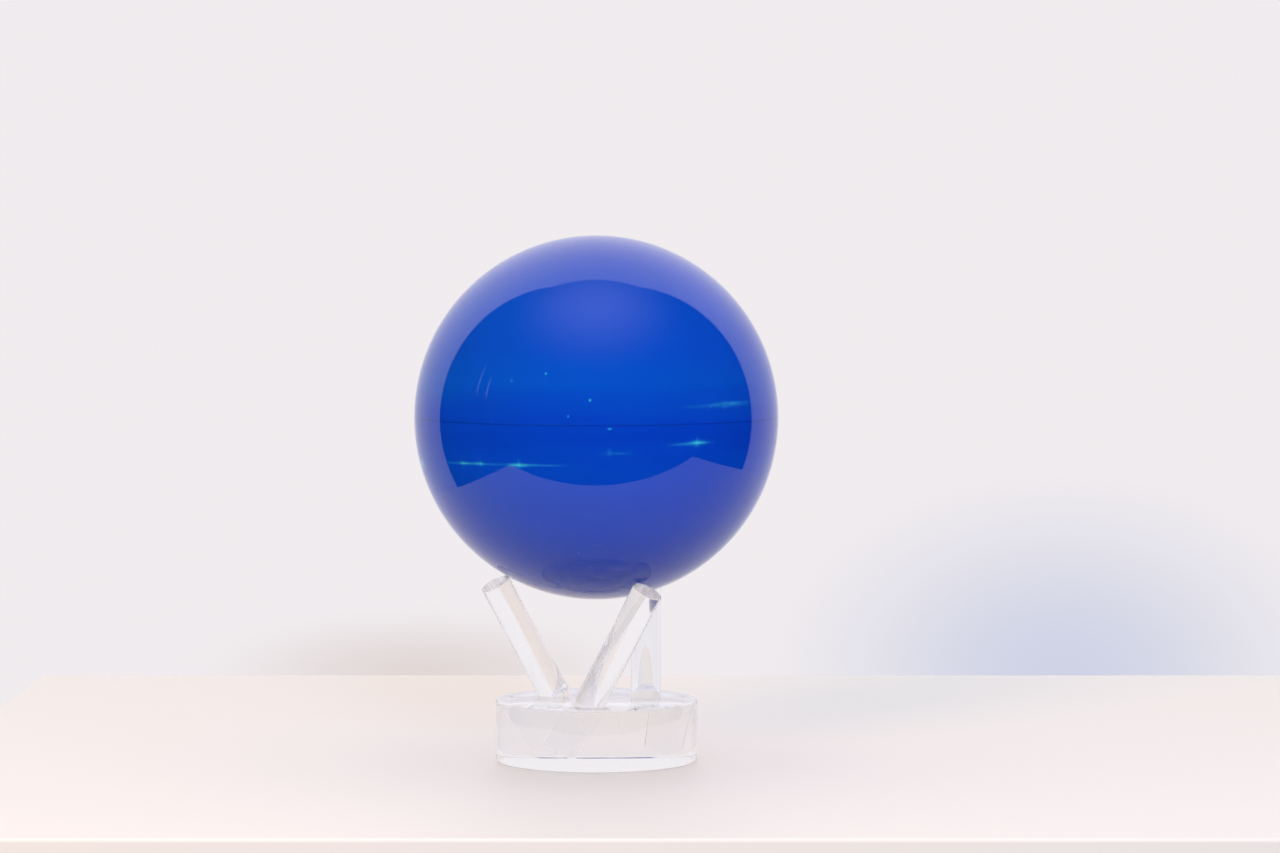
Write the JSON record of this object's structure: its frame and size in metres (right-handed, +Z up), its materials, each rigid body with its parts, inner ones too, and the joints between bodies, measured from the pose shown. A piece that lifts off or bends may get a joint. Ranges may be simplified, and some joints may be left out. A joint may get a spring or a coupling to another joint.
{
  "type": "desktop globe on stand",
  "caption": "Self-turning desktop globe: a clear ball round a floating printed inner globe, resting on slanted clear rods in a thick round clear base.",
  "frame": {"origin": "centre of the flat underside of the base disc, on the surface it stands on", "axes": "+Z up along the axis the globe turns about, +X to the right and +Y to the rear, as seen from the front, where one rod leans towards the viewer's right"},
  "size_m": [0.1142, 0.1142, 0.1651],
  "materials": {
    "clear_acrylic": "polished, clear",
    "light_oil": "clear liquid",
    "dense_liquid": "clear liquid",
    "printed_shell": "printed deep blue with pale cyan streaks",
    "cream_plastic": "moulded",
    "white_nylon": "moulded",
    "cast_iron": "as cast",
    "aluminium": "satin",
    "brass": "turned",
    "steel": "bright",
    "nickel_magnet": "nickel plated",
    "ferrite": "sintered, dull",
    "copper": "wound copper",
    "jewel_ruby": "polished",
    "solar_cell": "glossy cell",
    "lead_red": "sleeved wire",
    "lead_black": "sleeved wire"
  },
  "bodies": {
    "stand": {"base_disc": "clear_acrylic", "support_rod_rear": "clear_acrylic", "support_rod_left": "clear_acrylic", "support_rod_front": "clear_acrylic"},
    "ball": {"outer_shell_upper": "clear_acrylic", "outer_shell_lower": "clear_acrylic", "fill_plug": "cream_plastic", "float_liquid_upper": "light_oil", "float_liquid_lower": "dense_liquid"},
    "globe": {"globe_shell_upper": "printed_shell", "globe_shell_lower": "printed_shell", "equator_joint_ring": "cream_plastic", "ballast_weight": "cast_iron", "lower_frame_plate": "aluminium", "gear_plate": "aluminium", "upper_frame_plate": "aluminium", "lower_standoff_1": "brass", "lower_standoff_2": "brass", "lower_standoff_3": "brass", "upper_standoff_1": "brass", "upper_standoff_2": "brass", "upper_standoff_3": "brass", "top_screw_1": "steel", "top_screw_2": "steel", "top_screw_3": "steel", "motor_can": "steel", "motor_end_cap": "cream_plastic", "motor_ring_magnet": "ferrite", "motor_brush_1": "copper", "motor_brush_2": "copper", "idler_pin": "steel", "jewel_cup": "jewel_ruby", "shaft_bush": "brass", "panel_holder": "cream_plastic", "solar_panel_right": "solar_cell", "solar_panel_rear": "solar_cell", "solar_panel_left": "solar_cell", "solar_panel_front": "solar_cell", "lead_wire_red": "lead_red", "lead_wire_black": "lead_black"},
    "rotor": {"motor_shaft": "steel", "motor_armature": "copper", "motor_commutator": "copper", "motor_pinion": "brass"},
    "idler": {"idler_wheel": "white_nylon", "idler_pinion": "brass"},
    "compass": {"magnet_shaft": "steel", "output_gear": "white_nylon", "magnet_hub": "brass", "bar_magnet": "nickel_magnet"}
  },
  "joints": [
    {"name": "ball_lift", "type": "slide", "parent": "stand", "child": "ball", "axis": [0, 0, 1], "range_m": [0, 0.1]},
    {"name": "globe_spin", "type": "hinge", "parent": "ball", "child": "globe", "pos_m": [0, 0, 0.10794], "axis": [0, 0, 1], "continuous": true},
    {"name": "compass_turn", "type": "hinge", "parent": "globe", "child": "compass", "pos_m": [0, 0, 0.10794], "axis": [0, 0, 1], "continuous": true},
    {"name": "idler_turn", "type": "hinge", "parent": "globe", "child": "idler", "pos_m": [0.015, 0, 0.10394], "axis": [0, 0, 1], "continuous": true},
    {"name": "motor_turn", "type": "hinge", "parent": "globe", "child": "rotor", "pos_m": [0.0075, 0.01299, 0.09794], "axis": [0, 0, 1], "continuous": true}
  ],
  "couplings": [
    {"joint": "compass_turn", "follows": "globe_spin", "ratio": -1},
    {"joint": "idler_turn", "follows": "globe_spin", "ratio": 4},
    {"joint": "motor_turn", "follows": "globe_spin", "ratio": -16}
  ]
}
